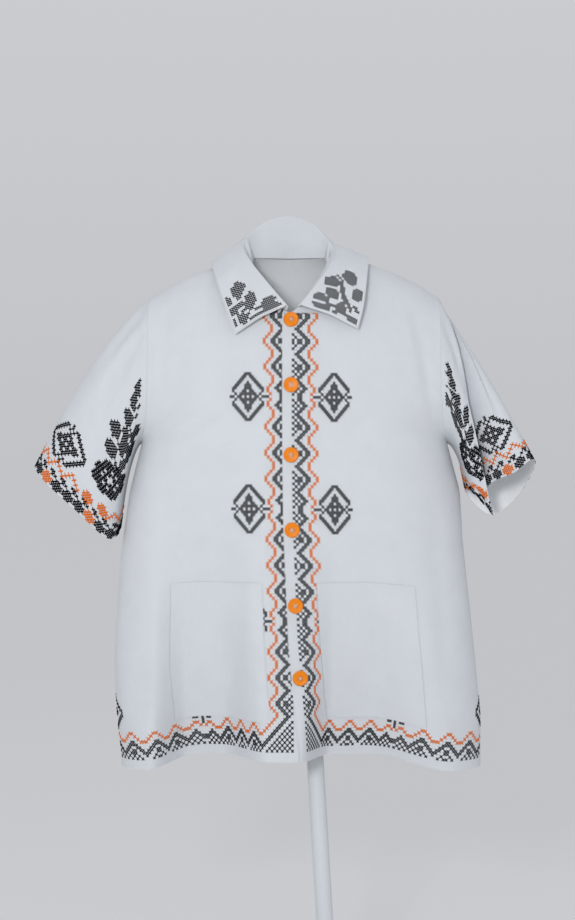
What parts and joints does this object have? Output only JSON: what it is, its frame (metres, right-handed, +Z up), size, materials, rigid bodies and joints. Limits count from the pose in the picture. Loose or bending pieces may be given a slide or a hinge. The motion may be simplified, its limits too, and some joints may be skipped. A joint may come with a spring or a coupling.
{
  "type": "embroidered vyshyvanka shirt on a garment stand",
  "caption": "Short-sleeved buttoned shirt of white linen with turned-down collar, patch pockets and cross-stitch borders, worn hollow on a slim garment stand.",
  "frame": {"origin": "centre of the stand's foot, on the face that stands on the floor", "axes": "+Z up, -Y is the shirt's front, +X is the wearer's left"},
  "size_m": [0.6933, 0.3, 1.139],
  "materials": {
    "white_linen": "plain-woven white linen, matt",
    "orange_plastic": "glossy bright orange",
    "white_paint": "satin white paint"
  },
  "bodies": {
    "root": {"back": "white_linen", "collar": "white_linen", "front_left_side": "white_linen", "front_right_side": "white_linen", "pocket_left": "white_linen", "pocket_right": "white_linen", "sleeve_left": "white_linen", "sleeve_right": "white_linen", "button_1": "orange_plastic", "button_2": "orange_plastic", "button_3": "orange_plastic", "button_4": "orange_plastic", "button_5": "orange_plastic", "button_6": "orange_plastic", "stand_foot": "white_paint", "stand_pole": "white_paint", "stand_shoulder_bar": "white_paint"}
  },
  "joints": []
}
